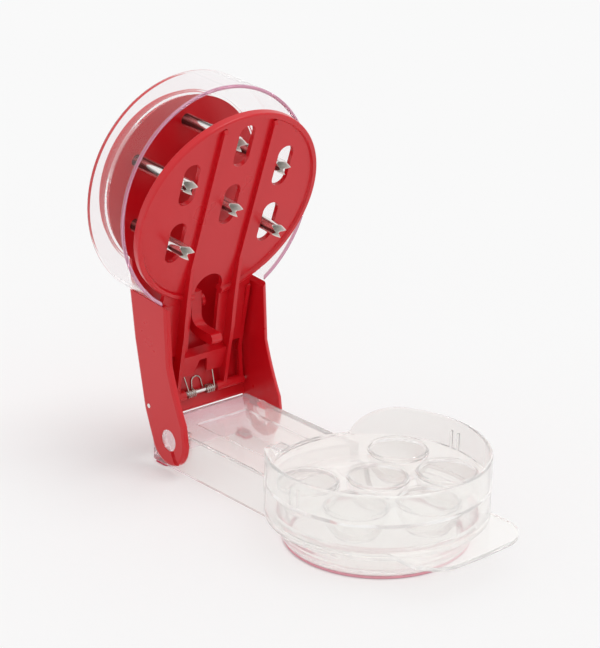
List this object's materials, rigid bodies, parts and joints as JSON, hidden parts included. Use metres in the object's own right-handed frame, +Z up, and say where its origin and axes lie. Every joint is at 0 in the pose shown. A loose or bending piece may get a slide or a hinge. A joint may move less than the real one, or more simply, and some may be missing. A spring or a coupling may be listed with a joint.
{
  "type": "cherry pitter with lever",
  "caption": "Hand-operated cherry pitter: a hinged lever drives hollow steel tubes through a spring-loaded stripper plate into a tray of cups.",
  "frame": {"origin": "on the floor under the middle of the cherry tray, on the flat underside of the juice bowl", "axes": "+X from the hinge towards the tray's lift tab, +Y along the hinge towards the far cheek, +Z up"},
  "size_m": [0.2351, 0.12, 0.2019],
  "materials": {
    "clear_plastic": "clear gloss",
    "shield_plastic": "clear gloss",
    "red_plastic": "satin",
    "red_rubber": "matte",
    "steel": "polished",
    "spring_steel": "bright drawn wire"
  },
  "bodies": {
    "base": {"juice_base": "clear_plastic", "foot_ring": "red_rubber", "rear_foot_far": "red_rubber", "rear_foot_near": "red_rubber", "cherry_tray": "clear_plastic"},
    "lever": {"lever_frame": "red_plastic", "back_cap": "red_plastic", "splash_shield": "shield_plastic", "plunger_tube_1": "steel", "plunger_tube_2": "steel", "plunger_tube_3": "steel", "plunger_tube_4": "steel", "plunger_tube_5": "steel", "plunger_tube_6": "steel", "stripper_pin": "steel", "torsion_spring": "spring_steel", "latch_pin": "steel"},
    "stripper": {"stripper_plate": "red_plastic"},
    "latch": {"latch_hook": "red_plastic"}
  },
  "joints": [
    {"name": "lever_hinge", "type": "hinge", "parent": "base", "child": "lever", "pos_m": [-0.121, 0, 0.018], "axis": [0, 1, 0], "range_deg": [0, 84.5]},
    {"name": "stripper_pivot", "type": "hinge", "parent": "lever", "child": "stripper", "pos_m": [-0.13722, 0, 0.03212], "axis": [0, 1, 0], "range_deg": [-14.5, 0], "deforming": ["torsion_spring"]},
    {"name": "latch_pivot", "type": "hinge", "parent": "lever", "child": "latch", "pos_m": [-0.14213, 0, 0.08031], "axis": [0, 1, 0], "range_deg": [-14, 0]}
  ],
  "couplings": [
    {"joint": "stripper_pivot", "follows": "lever_hinge", "ratio": -0.1715}
  ]
}
